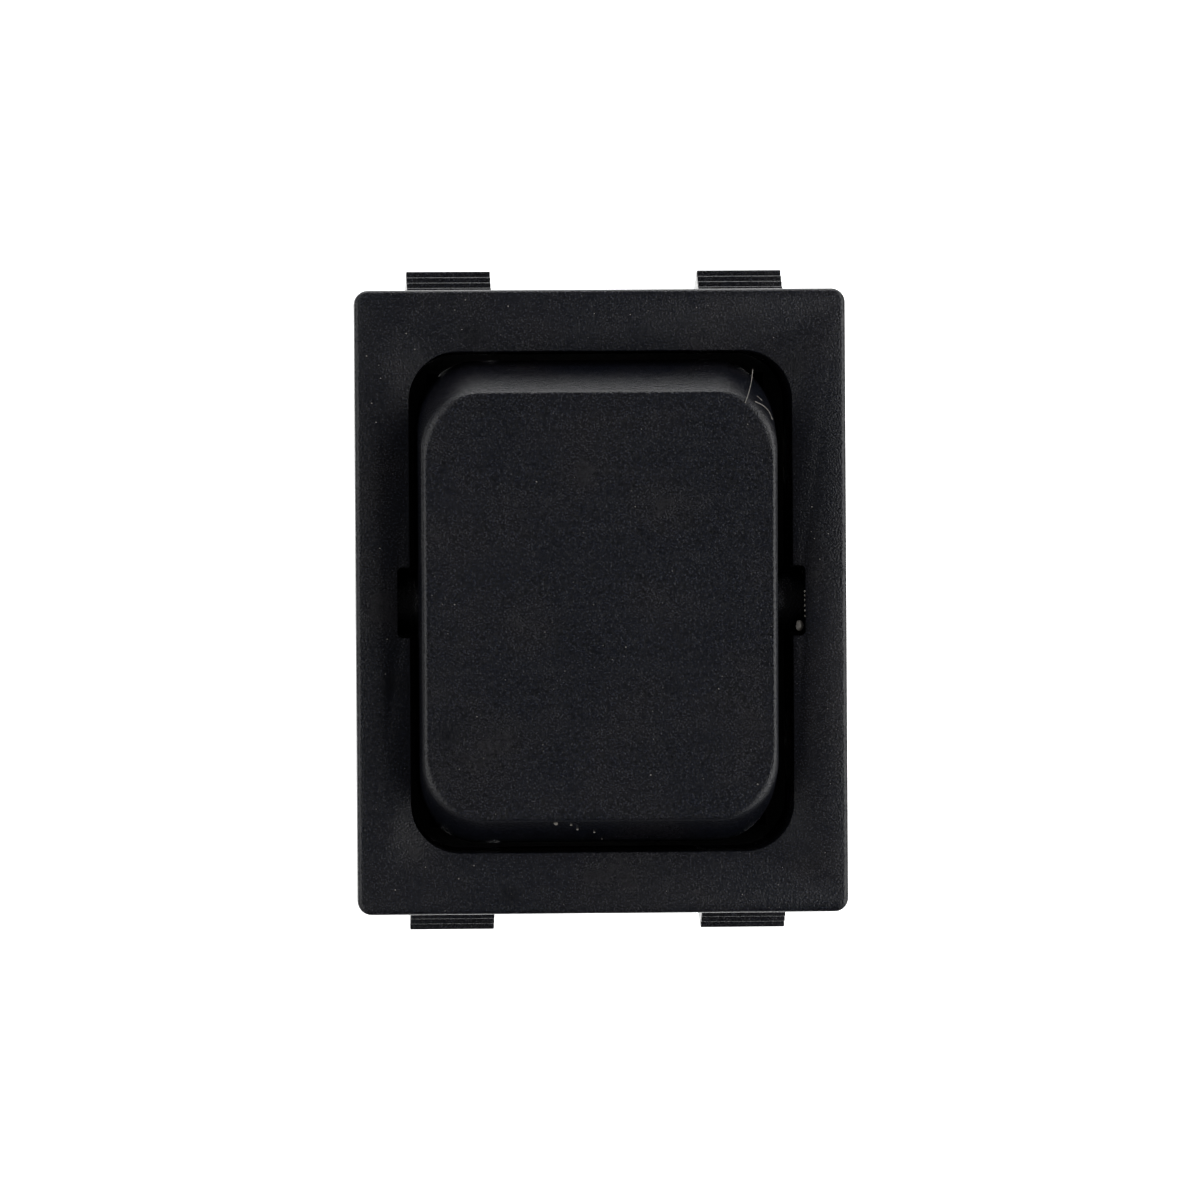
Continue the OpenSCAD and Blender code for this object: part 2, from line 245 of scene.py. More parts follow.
bpy.ops.mesh.primitive_cylinder_add(vertices=64, radius=PIVOT_HOLE_R * MM, depth=(SKIRT[0] + 0.02) * MM,
                                    location=(0, 0, PIVOT_Z * MM), rotation=(0, math.pi / 2, 0))
hole = bpy.context.object
bpy.ops.object.transform_apply()
combine(bezel, hole, "DIFFERENCE")
wall_y = (SKIRT[1] + OPENING[1]) / 4
window_h = WINDOW_TOP_Z - LEG_ROOT_Z
window_size = (LEG_W + 2 * LEG_GAP, WINDOW_DEPTH, window_h)
for x in (-LEG_X, LEG_X):
    for y in (-wall_y, wall_y):
        combine(bezel, block("window", window_size, (x, y, LEG_ROOT_Z + window_h / 2)), "DIFFERENCE")
for y in (-CATCH_Y, CATCH_Y):
    combine(bezel, block("catch_window", (SKIRT[0] + 1, *CATCH_WINDOW), (0, y, CATCH_Z)), "DIFFERENCE")
for x in (-LEG_X, LEG_X):
    for turn in (0, math.pi):
        leg = plate_outline("leg", leg_profile(), LEG_W)
        round_edges(leg, CREST_ROUND, 4, is_crest)
        place(leg, (x, 0, 0))
        place(leg, turn_z=turn)
        combine(bezel, leg, "UNION")
modify(bezel, "BEVEL", width=SHARP_EDGE * MM, segments=2, limit_method="ANGLE", angle_limit=SHARP_ANGLE,
       use_clamp_overlap=False)


def srgb(code):
    """Linear colour of an sRGB hex value."""
    parts = [int(code[i:i + 2], 16) / 255 for i in (1, 3, 5)]
    return tuple(c / 12.92 if c <= 0.04045 else ((c + 0.055) / 1.055) ** 2.4 for c in parts) + (1.0,)


def node(tree, kind, inputs=None, **settings):
    """Adds a shader node, with its settings, and its inputs as values or links."""
    n = tree.nodes.new("ShaderNode" + kind)
    for key, value in settings.items():
        setattr(n, key, value)
    for key, value in (inputs or {}).items():
        if isinstance(value, bpy.types.NodeSocket):
            tree.links.new(value, n.inputs[key])
        else:
            n.inputs[key].default_value = value
    return n


def new_material(name):
    """A material with its node tree and its main shader."""
    m = bpy.data.materials.new(name)
    m.use_nodes = True
    return m, m.node_tree, m.node_tree.nodes["Principled BSDF"]


def nylon(name, colour, greasy_spots):
    """Black nylon from a spark-eroded mould. Its dry grain is painted into the base colour as lighter
    and darker points, a painted sparkle that stands for the glints of its facets. A thin uneven film
    of dust and a few pale specks lie in the grain, and fingers have rubbed some places darker. A
    greasy spot is a place and a radius in millimetres."""
    m, tree, shader = new_material(name)
    coords = node(tree, "TexCoord").outputs["Object"]
    grain = node(tree, "TexNoise", {"Vector": coords, "Scale": 1 / (NYLON_GRAIN_MM * MM), "Detail": 2.0,
                                    "Roughness": 0.6}).outputs["Fac"]
    cloud = node(tree, "TexNoise", {"Vector": coords, "Scale": 1 / (NYLON_CLOUD_MM * MM), "Detail": 4.0,
                                    "Roughness": 0.6}).outputs["Fac"]
    point = node(tree, "MapRange", {"Value": grain, "From Min": GRAIN_PAINTED_SPARKLE_SPAN[0], "From Max": GRAIN_PAINTED_SPARKLE_SPAN[1]})
    clean = 1.0
    for place_mm, radius_mm in greasy_spots:
        away = node(tree, "VectorMath", {0: coords, 1: Vector(place_mm) * MM}, operation="DISTANCE")
        ragged = node(tree, "Math", {0: cloud, 1: 2 * radius_mm * MM, 2: away.outputs["Value"]},
                      operation="MULTIPLY_ADD")
        spot = node(tree, "MapRange", {"Value": ragged.outputs["Value"], "From Min": radius_mm * MM,
                                       "From Max": 2 * radius_mm * MM, "To Min": GREASE_DARKENING},
                    interpolation_type="SMOOTHSTEP").outputs["Result"]
        clean = node(tree, "Math", {0: clean, 1: spot}, operation="MULTIPLY").outputs["Value"]
    # The grain's light points in the base colour are painted sparkle, standing for glints off its facets;
    # greasy spots dim them.
    painted_sparkle_and_grease = node(tree, "Math", {0: point.outputs["Result"], 1: clean}, operation="MULTIPLY").outputs["Value"]
    film = node(tree, "MapRange", {"Value": cloud, "From Min": 0.45, "From Max": 0.7,
                                   "To Max": DUST_FILM}).outputs["Result"]
    dusty = node(tree, "Math", {0: film, 1: painted_sparkle_and_grease}, operation="MULTIPLY").outputs["Value"]
    cells = node(tree, "TexVoronoi", {"Vector": coords, "Scale": 1 / (SPECK_CELL_MM * MM)})
    core = node(tree, "MapRange", {"Value": cells.outputs["Distance"],
                                   "From Min": 0.3 * SPECK_R_MM / SPECK_CELL_MM,
                                   "From Max": SPECK_R_MM / SPECK_CELL_MM, "To Min": 1.0, "To Max": 0.0})
    chance = node(tree, "SeparateColor", {"Color": cells.outputs["Color"]}).outputs["Red"]
    some = node(tree, "Math", {0: chance, 1: SPECK_RARITY}, operation="POWER")
    speck = node(tree, "Math", {0: core.outputs["Result"], 1: some.outputs["Value"]}, operation="MULTIPLY")
    dark, light = (tuple(c * k for c in srgb(colour)[:3]) + (1,) for k in (GRAIN_PAINTED_SPARKLE_DARK, GRAIN_PAINTED_SPARKLE_LIGHT))
    plain = node(tree, "Mix", {"Factor": painted_sparkle_and_grease, "A": dark, "B": light}, data_type="RGBA")
    filmed = node(tree, "Mix", {"Factor": dusty, "A": plain.outputs[2], "B": srgb(DUST)}, data_type="RGBA")
    specked = node(tree, "Mix", {"Factor": speck.outputs["Value"], "A": filmed.outputs[2],
                                 "B": srgb(PALE_SPECK)}, data_type="RGBA")
    dry = node(tree, "MapRange", {"Value": cloud, "From Min": 0.3, "From Max": 0.7,
                                  "To Min": NYLON_ROUGHNESS - GREASE_POLISH - 0.03,
                                  "To Max": NYLON_ROUGHNESS - GREASE_POLISH + 0.03}).outputs["Result"]
    rough = node(tree, "Math", {0: clean, 1: GREASE_POLISH, 2: dry}, operation="MULTIPLY_ADD")
    bump = node(tree, "Bump", {"Height": grain, "Distance": 0.7 * NYLON_GRAIN_MM * MM, "Strength": 0.6})
    tree.links.new(specked.outputs[2], shader.inputs["Base Color"])
    tree.links.new(rough.outputs["Value"], shader.inputs["Roughness"])
    tree.links.new(bump.outputs["Normal"], shader.inputs["Normal"])
    shader.inputs["IOR"].default_value = NYLON_IOR
    return m


def finish_piece(piece, material, flat_below=math.inf):
    """Gives a piece its material and smooth edges between flat faces. Above flat_below, in
    millimetres, faces keep the soft shading of a crowned surface."""
    piece.data.materials.clear()
    piece.data.materials.append(material)
    only(piece)
    bpy.ops.object.shade_smooth_by_angle(angle=SMOOTH_ANGLE)
    flat_walls = piece.vertex_groups.new(name="flat_walls")
    flat_walls.add([v.index for v in piece.data.vertices if v.co.z < flat_below * MM], 1.0, "ADD")
    modify(piece, "WEIGHTED_NORMAL", keep_sharp=True, vertex_group="flat_walls")


finish_piece(bezel, nylon("spark_eroded_nylon_bezel", NYLON_BLACK, BEZEL_SMUDGES), flat_below=CROWN_FROM)
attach(bezel, "housing")
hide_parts("frame")


# ---- Base ----
# Floor and box that close the back and carry the terminals, moulded in black glass-filled
# polyester. A low collar stands round each blade, and pins that pushed it from its mould left marks.

POLYESTER_BLACK = "#1a1b1d"
POLYESTER_FIBRE = "#3a3a3a"
POLYESTER_IOR = 1.56
FIBRE_MM = (0.5, 0.12, 0.5)
FIBRE_DEPTH_MM = 0.02
FLOW_MM = 7.0
BASE_EDGE = 0.12
BLADE = (6.35, 0.81)
BLADE_X = 6.5
BLADE_Y = 12.0
COLLAR_MARGIN = 0.7
COLLAR_H = 0.4
EJECTOR_R = 1.3
EJECTOR_D = 0.15
EJECTORS = ((0, -15), (0, 15), (-12, -6), (12, -6), (-12, 6), (12, 6))


def trimmed_copy(cad_name, piece_name):
    """A merged copy of a CAD node with its flat faces made whole, ready to be dressed."""
    o = bpy.data.objects.new(piece_name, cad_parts[cad_name].data.copy())
    bpy.context.scene.collection.objects.link(o)
    only(o)
    bpy.ops.mesh.customdata_custom_splitnormals_clear()
    bpy.ops.object.mode_set(mode="EDIT")
    bpy.ops.mesh.select_all(action="SELECT")
    bpy.ops.mesh.remove_doubles(threshold=0.001 * MM)
    bpy.ops.mesh.dissolve_limited(angle_limit=math.radians(0.5))
    bpy.ops.mesh.normals_make_consistent(inside=False)
    bpy.ops.object.mode_set(mode="OBJECT")
    return o


def filled_polyester():
    """Glass-filled polyester: flow has combed its short fibres across the base, and they show
    as faint pale streaks in a dull black skin."""
    m, tree, shader = new_material("glass_filled_polyester")
    coords = node(tree, "TexCoord").outputs["Object"]
    combed = node(tree, "Mapping", {"Vector": coords, "Scale": tuple(1 / (s * MM) for s in FIBRE_MM)})
    fibre = node(tree, "TexNoise", {"Vector": combed.outputs["Vector"], "Scale": 1.0,
                                    "Detail": 3.0}).outputs["Fac"]
    flow = node(tree, "TexNoise", {"Vector": coords, "Scale": 1 / (FLOW_MM * MM),
                                   "Detail": 3.0}).outputs["Fac"]
    streak = node(tree, "MapRange", {"Value": fibre, "From Min": 0.55, "From Max": 0.8, "To Max": 0.5})
    tone = node(tree, "Mix", {"Factor": streak.outputs["Result"], "A": srgb(POLYESTER_BLACK),
                              "B": srgb(POLYESTER_FIBRE)}, data_type="RGBA")
    rough = node(tree, "MapRange", {"Value": flow, "From Min": 0.3, "From Max": 0.7,
                                    "To Min": 0.42, "To Max": 0.56})
    bump = node(tree, "Bump", {"Height": fibre, "Distance": FIBRE_DEPTH_MM * MM, "Strength": 0.5})
    tree.links.new(tone.outputs[2], shader.inputs["Base Color"])
    tree.links.new(rough.outputs["Result"], shader.inputs["Roughness"])
    tree.links.new(bump.outputs["Normal"], shader.inputs["Normal"])
    shader.inputs["IOR"].default_value = POLYESTER_IOR
    return m


base = trimmed_copy("base", "base_moulding")
base_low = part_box("base")[0].z / MM
collar_size = (BLADE[0] + 2 * COLLAR_MARGIN, BLADE[1] + 2 * COLLAR_MARGIN, 2 * COLLAR_H)
for x in (-BLADE_X, BLADE_X):
    for y in (-BLADE_Y, 0, BLADE_Y):
        combine(base, block("collar", collar_size, (x, y, base_low)), "UNION")
for x, y in EJECTORS:
    bpy.ops.object.select_all(action="DESELECT")
    bpy.ops.mesh.primitive_cylinder_add(vertices=32, radius=EJECTOR_R * MM, depth=2 * EJECTOR_D * MM,
                                        location=(x * MM, y * MM, base_low * MM))
    mark = bpy.context.object
    bpy.ops.object.transform_apply()
    combine(base, mark, "DIFFERENCE")
modify(base, "BEVEL", width=BASE_EDGE * MM, segments=2, limit_method="ANGLE", angle_limit=SHARP_ANGLE,
       use_clamp_overlap=True)
finish_piece(base, filled_polyester())
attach(base, "housing")
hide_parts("base")


# ---- Blade terminals ----
# Six quick-connect blades stamped from brass strip and plated with dull tin. The punch rounded
# one edge of each and left its fine rolling marks running along the strip.

TIN = "#a9abab"
TIN_DULL = "#77797a"
ROLLING_MM = (0.06, 0.06, 3.0)
STAIN_MM = 2.5
WORN_SPAN = (0.12, 0.4)
MARK_DEPTH_MM = 0.004
BLADE_EDGE = 0.07


def metal(name, bright, dull, grain_mm, roughness):
    """Bare or plated metal. Fine marks of its making, long in the direction it was worked, dull it
    unevenly. The grain is a mark's size along X, Y and Z in millimetres."""
    m, tree, shader = new_material(name)
    coords = node(tree, "TexCoord").outputs["Object"]
    drawn = node(tree, "Mapping", {"Vector": coords, "Scale": tuple(1 / (s * MM) for s in grain_mm)})
    marks = node(tree, "TexNoise", {"Vector": drawn.outputs["Vector"], "Scale": 1.0,
                                    "Detail": 3.0}).outputs["Fac"]
    stain = node(tree, "TexNoise", {"Vector": coords, "Scale": 1 / (STAIN_MM * MM),
                                    "Detail": 5.0}).outputs["Fac"]
    both = node(tree, "Math", {0: marks, 1: stain}, operation="MULTIPLY").outputs["Value"]
    worn = node(tree, "MapRange", {"Value": both, "From Min": WORN_SPAN[0], "From Max": WORN_SPAN[1]})
    tone = node(tree, "Mix", {"Factor": worn.outputs["Result"], "A": srgb(dull), "B": srgb(bright)},
                data_type="RGBA")
    rough = node(tree, "MapRange", {"Value": both, "From Min": WORN_SPAN[0], "From Max": WORN_SPAN[1],
                                    "To Min": roughness + 0.08, "To Max": roughness - 0.05})
    bump = node(tree, "Bump", {"Height": marks, "Distance": MARK_DEPTH_MM * MM, "Strength": 0.6})
    tree.links.new(tone.outputs[2], shader.inputs["Base Color"])
    tree.links.new(rough.outputs["Result"], shader.inputs["Roughness"])
    tree.links.new(bump.outputs["Normal"], shader.inputs["Normal"])
    shader.inputs["Metallic"].default_value = 1.0
    return m


tin_plate = metal("dull_tin_plate", TIN, TIN_DULL, ROLLING_MM, 0.38)
for kind in ("common", "upper", "lower"):
    for pole in ("left", "right"):
        blade = trimmed_copy(f"{kind}_terminal_{pole}", f"{kind}_blade_{pole}")
        modify(blade, "BEVEL", width=BLADE_EDGE * MM, segments=2, limit_method="ANGLE",
               angle_limit=SHARP_ANGLE, use_clamp_overlap=True)
        finish_piece(blade, tin_plate)
        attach(blade, "housing")
        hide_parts(f"{kind}_terminal_{pole}")


# ---- Contacts and see-saws ----
# Silver rivets are headed into the end terminals and into two rolled copper see-saws, which
# rock on the top edges of the middle terminals.

SILVER = "#d6d4ce"
SILVER_TARNISH = "#8d8578"
COPPER = "#b87048"
COPPER_TARNISH = "#74412a"


def refinish(cad_name, material):
    """Gives a CAD node a material in place of its plain colour."""
    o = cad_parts[cad_name]
    o.data.materials.clear()
    o.data.materials.append(material)


silver = metal("coined_silver", SILVER, SILVER_TARNISH, (0.1, 0.1, 0.1), 0.3)
copper = metal("rolled_copper", COPPER, COPPER_TARNISH, (0.08, 2.5, 0.08), 0.34)
for pole in ("left", "right"):
    for kind in ("upper_fixed", "lower_fixed", "upper_moving", "lower_moving"):
        refinish(f"{kind}_contact_{pole}", silver)
    refinish(f"seesaw_{pole}", copper)


# ---- Plungers and springs ----
# Turned brass pins with round tips slide in the paddle's bores. Springs coiled from drawn wire
# press them into the see-saws' valleys.

BRASS = "#c9a75a"
BRASS_DULL = "#8c6d35"
WIRE = "#9da1a6"
WIRE_DULL = "#5f6266"
COIL_R = 1.2
WIRE_R = 0.2
COIL_TURNS = 6
COIL_STEPS = 16
COIL_END_CLOSING = 0.07
COIL_FOOT = -0.47
COIL_RISE = 4.34
REST_TILT = math.radians(2.0)
SIDE_SHIFT = 0.24


def paddle_place():
    """Takes what is modelled about the pivot to its place, tilted as the springs leave it."""
    return Matrix.Translation((-SIDE_SHIFT * MM, 0, PIVOT_Z * MM)) @ Matrix.Rotation(REST_TILT, 4, "X")


def wire(name, route, radius):
    """A closed round wire or fibre along a route in millimetres."""
    curve = bpy.data.curves.new(name, "CURVE")
    curve.dimensions = "3D"
    curve.bevel_depth = radius * MM
    curve.bevel_resolution = 2
    curve.use_fill_caps = True
    spline = curve.splines.new("NURBS")
    spline.points.add(len(route) - 1)
    for point, place_mm in zip(spline.points, route):
        point.co = (*(Vector(place_mm) * MM), 1)
    spline.use_endpoint_u = True
    spline.order_u = 3
    spline.resolution_u = 2
    o = bpy.data.objects.new(name, curve)
    bpy.context.scene.collection.objects.link(o)
    only(o)
    bpy.ops.object.convert(target="MESH")
    return bpy.context.object


def coil_point(x, step):
    """A point on a spring's wire, in millimetres. The end turns lie closer, to sit flat."""
    along = step / (COIL_TURNS * COIL_STEPS)
    turn = 2 * math.pi * step / COIL_STEPS
    up = along - COIL_END_CLOSING * math.sin(2 * math.pi * along)
    return (x + COIL_R * math.cos(turn), COIL_R * math.sin(turn), COIL_FOOT + COIL_RISE * up)


turned_brass = metal("turned_brass", BRASS, BRASS_DULL, (1.5, 1.5, 0.05), 0.28)
drawn_wire = metal("drawn_spring_wire", WIRE, WIRE_DULL, (0.2, 0.2, 0.03), 0.3)
for pole, x in (("left", -BLADE_X), ("right", BLADE_X)):
    refinish(f"plunger_{pole}", turned_brass)
    turns = [coil_point(x, step) for step in range(COIL_TURNS * COIL_STEPS + 1)]
    coil = wire(f"plunger_coil_{pole}", turns, WIRE_R)
    coil.data.transform(paddle_place())
    finish_piece(coil, drawn_wire)
    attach(coil, "paddle")
    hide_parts(f"plunger_spring_{pole}")
    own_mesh(coil)


# ---- Paddle ----
# Hollow nylon cap whose ends are arcs about the pivot. Its long sides are well rounded and its
# end creases crisp. Two pivot pins show in the bezel's side slots.

PADDLE_W = 22.0
SIDE_DRAFT = math.radians(1.5)
FACE_L = 26.0
FACE_UP = 7.0
END_DROP = 1.5
PADDLE_CORNER = 3.7
SIDE_ROUND = 0.34
CORNER_ROUND = 0.55
CREASE_ROUND = 0.14
SWING_R = math.hypot(FACE_L / 2, FACE_UP)
END_RINGS = 14
EAR = (8.0, 3.2)
PIN_R = 1.9
PIN_REACH = 13.2
PIN_CHAMFER = 0.5
PADDLE_SMUDGES = (((-9.4, -8.0, 6), 1.6),)


def half_width(z):
    """Half the paddle's width at a height over the pivot. Its long sides have a little draft."""
    return PADDLE_W / 2 - z * math.tan(SIDE_DRAFT)


bpy.ops.object.select_all(action="DESELECT")
bpy.ops.mesh.primitive_plane_add(size=1)
paddle = bpy.context.object
paddle.name = "paddle_cap"
paddle.scale = (2 * half_width(FACE_UP) * MM, FACE_L * MM, 1)
paddle.location = (0, 0, FACE_UP * MM)
bpy.ops.object.transform_apply()
bpy.ops.object.mode_set(mode="EDIT")
bpy.ops.mesh.select_all(action="SELECT")
bpy.ops.mesh.bevel(offset=PADDLE_CORNER * MM, segments=16, affect="VERTICES")
z = FACE_UP
half = FACE_L / 2
for ring in range(1, END_RINGS + 1):
    next_z = FACE_UP - (FACE_UP + END_DROP) * ring / END_RINGS
    next_half = math.sqrt(SWING_R ** 2 - next_z ** 2)
    bpy.ops.mesh.extrude_region_move(TRANSFORM_OT_translate={"value": (0, 0, (next_z - z) * MM)})
    bpy.ops.transform.resize(value=(half_width(next_z) / half_width(z), next_half / half, 1),
                             center_override=(0, 0, next_z * MM))
    z, half = next_z, next_half
bpy.ops.mesh.select_all(action="SELECT")
bpy.ops.mesh.normals_make_consistent(inside=False)
bpy.ops.object.mode_set(mode="OBJECT")
weights = paddle.data.attributes.new("bevel_weight_edge", "FLOAT", "EDGE")
for e in paddle.data.edges:
    a, b = (paddle.data.vertices[i].co / MM for i in e.vertices)
    if min(a.z, b.z) > FACE_UP - NEAR:
        mid = (a + b) / 2
        run = min(max(abs(mid.y) - (FACE_L / 2 - PADDLE_CORNER), 0) / PADDLE_CORNER, 1)
        side = SIDE_ROUND + (CORNER_ROUND - SIDE_ROUND) * math.sin(math.pi * run)
        weights.data[e.index].value = (side + (CREASE_ROUND - side) * run ** 5) / CORNER_ROUND
modify(paddle, "BEVEL", width=CORNER_ROUND * MM, segments=6, limit_method="WEIGHT", use_clamp_overlap=False)
ears = block("ears", (PADDLE_W, EAR[0], EAR[1]), (0, 0, -EAR[1] / 2))
combine(paddle, ears, "UNION")
for turn in (90, -90):
    bpy.ops.object.select_all(action="DESELECT")
    bpy.ops.mesh.primitive_cylinder_add(vertices=48, radius=PIN_R * MM, depth=PIN_REACH * MM,
                                        location=(math.copysign(PIN_REACH / 2, turn) * MM, 0, 0),
                                        rotation=(0, math.radians(turn), 0))
    pin = bpy.context.object
    bpy.ops.object.transform_apply()
    round_edges(pin, PIN_CHAMFER, 1, lambda a, b: min(abs(a.x), abs(b.x)) > PIN_REACH - NEAR)
    combine(paddle, pin, "UNION")
paddle.data.transform(paddle_place())
finish_piece(paddle, nylon("spark_eroded_nylon_paddle", NYLON_BLACK, PADDLE_SMUDGES))
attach(paddle, "paddle")
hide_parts("paddle")


# ---- Dust, lint, moulding flash and a painted highlight ----
# The switch has been handled: dust lies in the grain, a curl of lint hangs over one end of the
# paddle, and scraps of pale flash stayed in the right pin slot. A row of pale flecks along that
# slot's outer edge is a painted highlight, standing for the light its edge catches.

DUST_PALE = "#b9b5ad"
DUST_GREY = "#6d6963"
LINT_R = 0.02
PADDLE_DUST = ((-9.57, 0.2), (-10.2, 0.75), (2.15, 6.05), (9.0, 11.0))
CREASE_CHIPS = ((-2.74, -13.17, 0.13), (-1.8, -13.3, 0.07), (-1.4, -13.62, 0.07),
                (-0.35, -13.85, 0.06), (0.2, -14.4, 0.04))
BEZEL_DUST = ((-13.1, -2.2), (13.35, 2.5), (-8.2, 18.45), (-5.6, 18.05), (-11.3, 15.45), (-13.4, 13.7),
              (1.85, 17.5), (10.6, 16.05), (-7.9, -16.05), (-12.7, -17.5), (3.85, -17.7), (8.5, -17.95))
SLOT_FLASH = ((12.12, -1.55, 2.55), (0.24, 0.34, 0.14))
# Pale flecks along the right pin slot's outer edge, a painted highlight of that edge: their places along Y
# and their half sizes.
SLOT_EDGE_PAINTED_HIGHLIGHTS = (0.55, 0.3, 0.02, -0.3, -0.62, -0.95)
PAINTED_HIGHLIGHT_FLECK = (0.04, 0.07, 0.04)
GRAIN_T = 0.02
MOTTLE_MM = 0.3
LINT_ROUTES = (
    ((9.5, 14.25, 4.0), (9.42, 13.95, 4.93), (9.28, 13.5, 6.03), (9.14, 13.12, 6.8), (9.05, 12.85, 7.0),
     (8.95, 12.55, 6.985), (8.85, 12.3, 6.98)),
    ((9.57, 12.72, 6.98), (9.72, 12.6, 6.99), (9.88, 12.44, 6.98)),
    ((9.46, 12.38, 6.98), (9.78, 12.24, 6.995), (10.05, 12.06, 7.0), (10.38, 11.7, 7.0),
     (10.5, 11.28, 7.0)),
)


def fleck(centre, radii, seed):
    """A small ragged scrap. Its centre and its half sizes are in millimetres."""
    bpy.ops.object.select_all(action="DESELECT")
    bpy.ops.mesh.primitive_ico_sphere_add(subdivisions=2, radius=MM)
    o = bpy.context.object
    o.scale = radii
    o.location = Vector(centre) * MM
    bpy.ops.object.transform_apply()
    bpy.ops.object.mode_set(mode="EDIT")
    bpy.ops.mesh.select_all(action="SELECT")
    bpy.ops.transform.vertex_random(offset=0.35 * min(radii) * MM, seed=seed)
    bpy.ops.object.mode_set(mode="OBJECT")
    return o


def join(name, parts):
    """Makes one piece of many."""
    only(*parts)
    bpy.ops.object.join()
    o = bpy.context.object
    o.name = name
    return o


def dust_and_painted_highlight_material():
    """Dust, lint and flash, and the pale flecks of a painted highlight: dull and pale, each scrap a little
    different.
    """
    m, tree, shader = new_material("pale_dust_and_painted_highlight")
    coords = node(tree, "TexCoord").outputs["Object"]
    mottle = node(tree, "TexNoise", {"Vector": coords, "Scale": 1 / (MOTTLE_MM * MM), "Detail": 2.0})
    share = node(tree, "MapRange", {"Value": mottle.outputs["Fac"], "From Min": 0.35, "From Max": 0.65})
    tone = node(tree, "Mix", {"Factor": share.outputs["Result"], "A": srgb(DUST_GREY),
                              "B": srgb(DUST_PALE)}, data_type="RGBA")
    tree.links.new(tone.outputs[2], shader.inputs["Base Color"])
    shader.inputs["Roughness"].default_value = 0.95
    return m


rng = random.Random(7)
pale_dust_and_painted_highlight = dust_and_painted_highlight_material()


def grains(places, z):
    """A flat grain of dust at each place."""
    made = []
    for x, y in places:
        r = rng.uniform(0.02, 0.045)
        made.append(fleck((x, y, z), (r, r * rng.uniform(0.6, 1.0), GRAIN_T), rng.randrange(1000)))
    return made


scattered = [(rng.uniform(-10, 10), rng.uniform(-12, 12)) for _ in range(14)]
chips = [fleck((x, y, math.sqrt(SWING_R ** 2 - y ** 2)), (r, r, 0.6 * r), rng.randrange(1000))
         for x, y, r in CREASE_CHIPS]
paddle_dust = join("paddle_dust", grains([*PADDLE_DUST, *scattered], FACE_UP) + chips)
paddle_lint = join("paddle_lint", [wire("lint", route, LINT_R) for route in LINT_ROUTES])
for piece in (paddle_dust, paddle_lint):
    piece.data.transform(paddle_place())
    finish_piece(piece, pale_dust_and_painted_highlight)
    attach(piece, "paddle")

scattered = []
while len(scattered) < 24:
    x, y = rng.uniform(-14.3, 14.3), rng.uniform(-18.4, 18.4)
    if abs(x) > 12.8 or abs(y) > 15.7:
        scattered.append((x, y))
# Pale flecks along the right slot's outer edge are a painted highlight of that edge, not dust.
slot_edge = OPENING[0] / 2 + ENTRY_SLOT[0] - PAINTED_HIGHLIGHT_FLECK[0]
painted_highlight_flecks = [fleck((slot_edge, y, BEZEL[2] - 0.05), PAINTED_HIGHLIGHT_FLECK, rng.randrange(1000)) for y in SLOT_EDGE_PAINTED_HIGHLIGHTS]
flash = fleck(*SLOT_FLASH, rng.randrange(1000))
bezel_dust_and_painted_highlight = join("bezel_dust_and_painted_highlight", grains([*BEZEL_DUST, *scattered], BEZEL[2]) + painted_highlight_flecks + [flash])
finish_piece(bezel_dust_and_painted_highlight, pale_dust_and_painted_highlight)
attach(bezel_dust_and_painted_highlight, "housing")


# ---- Floor, light and camera ----

FLOOR_Z = cad_box[0][2]
FLOOR_SIZE = 3
TABLE_GREY = (0.3, 0.3, 0.3, 1)
PAD_WHITE = (0.85, 0.85, 0.85, 1)
PAD_GLOW = 1.6
PAD_SIDE = 42
PAD_FRONT = 40
PAD_BACK = 400
PAD_FADE = 16


def pad_fade(tree, value, start_mm):
    """1 inside the light pad's edge at start, falling softly to 0 past it."""
    fade = node(tree, "MapRange", {"Value": value, "From Min": start_mm * MM,
                                   "From Max": (start_mm + PAD_FADE) * MM, "To Min": 1.0, "To Max": 0.0},
                interpolation_type="SMOOTHSTEP")
    return fade.outputs["Result"]


bpy.ops.object.select_all(action="DESELECT")
bpy.ops.mesh.primitive_plane_add(size=FLOOR_SIZE, location=(0, 0, FLOOR_Z))
floor = bpy.context.object
floor.name = "floor"
paper, paper_tree, paper_shader = new_material("pale_light_table")
place_on_floor = node(paper_tree, "SeparateXYZ", {0: node(paper_tree, "TexCoord").outputs["Object"]})
from_middle = node(paper_tree, "Math", {0: place_on_floor.outputs["X"]}, operation="ABSOLUTE")
towards_front = node(paper_tree, "Math", {0: place_on_floor.outputs["Y"], 1: -1.0}, operation="MULTIPLY")
lit = pad_fade(paper_tree, from_middle.outputs["Value"], PAD_SIDE)
for edge in (pad_fade(paper_tree, towards_front.outputs["Value"], PAD_FRONT),
             pad_fade(paper_tree, place_on_floor.outputs["Y"], PAD_BACK)):
    lit = node(paper_tree, "Math", {0: lit, 1: edge}, operation="MULTIPLY").outputs["Value"]
glow = node(paper_tree, "Math", {0: lit, 1: PAD_GLOW}, operation="MULTIPLY").outputs["Value"]
paper_colour = node(paper_tree, "Mix", {"Factor": lit, "A": TABLE_GREY, "B": PAD_WHITE}, data_type="RGBA")
paper_tree.links.new(paper_colour.outputs[2], paper_shader.inputs["Base Color"])
paper_tree.links.new(glow, paper_shader.inputs["Emission Strength"])
paper_shader.inputs["Roughness"].default_value = 0.9
paper_shader.inputs["Emission Color"].default_value = (1, 1, 1, 1)
floor.data.materials.append(paper)


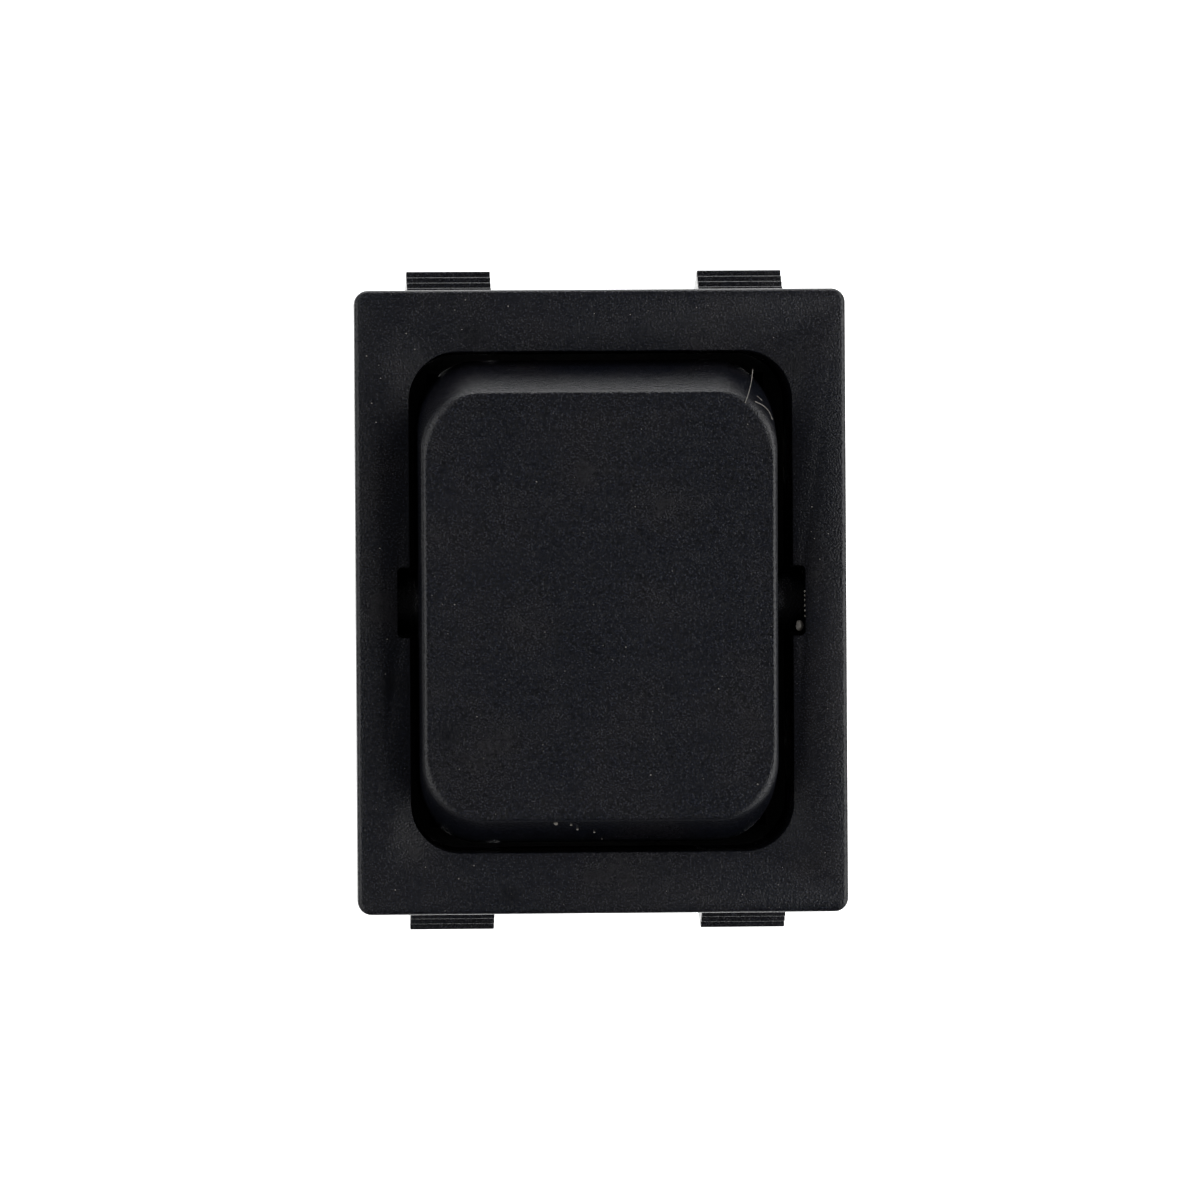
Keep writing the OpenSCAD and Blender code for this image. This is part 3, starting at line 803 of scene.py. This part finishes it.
def soft_box(name, azimuth, elevation, distance, size, watts):
    """A square soft box that faces the switch. Azimuth 0 is over its right side, 90 over its top end."""
    data = bpy.data.lights.new(name, "AREA")
    data.shape = "RECTANGLE"
    data.size, data.size_y = size
    data.energy = watts
    lamp = bpy.data.objects.new(name, data)
    bpy.context.scene.collection.objects.link(lamp)
    a, e = math.radians(azimuth), math.radians(elevation)
    towards = Vector((math.cos(a) * math.cos(e), math.sin(a) * math.cos(e), math.sin(e)))
    lamp.location = towards * distance
    lamp.rotation_euler = towards.to_track_quat("Z", "Y").to_euler()


soft_box("left_box", 180, 37, 0.9, (1.4, 0.75), 4.5)
soft_box("right_box", 0, 33, 0.9, (1.4, 0.75), 7.6)
soft_box("back_board", 90, 5, 0.6, (0.8, 0.12), 0.9)

world = bpy.data.worlds.new("studio")
world.use_nodes = True
world.node_tree.nodes["Background"].inputs["Color"].default_value = (1, 1, 1, 1)
world.node_tree.nodes["Background"].inputs["Strength"].default_value = 0.03
bpy.context.scene.world = world
bpy.context.scene.view_settings.view_transform = "Standard"

SENSOR_WIDTH = 36
VIEW_DISTANCE = 0.6
VIEW_WIDTH = 73.21 * MM
VIEW_FROM_LEFT = math.radians(2.5)
VIEW_FROM_TOP = math.radians(0.8)
VIEW_ROLL = math.radians(0.35)
target = Vector((-0.1, 0.1, BEZEL[2])) * MM
back = Vector((-math.sin(VIEW_FROM_LEFT), math.sin(VIEW_FROM_TOP), 1)).normalized()
up = Vector((math.sin(VIEW_ROLL), math.cos(VIEW_ROLL), 0))
right = up.cross(back).normalized()
up = back.cross(right)
camera_data = bpy.data.cameras.new("camera")
camera_data.sensor_width = SENSOR_WIDTH
camera_data.lens = SENSOR_WIDTH * VIEW_DISTANCE / VIEW_WIDTH
camera_data.clip_start = 0.01
camera = bpy.data.objects.new("camera", camera_data)
bpy.context.scene.collection.objects.link(camera)
camera.matrix_world = Matrix.Translation(target + back * VIEW_DISTANCE) @ Matrix(
    (right, up, back)).transposed().to_4x4()
bpy.context.scene.camera = camera
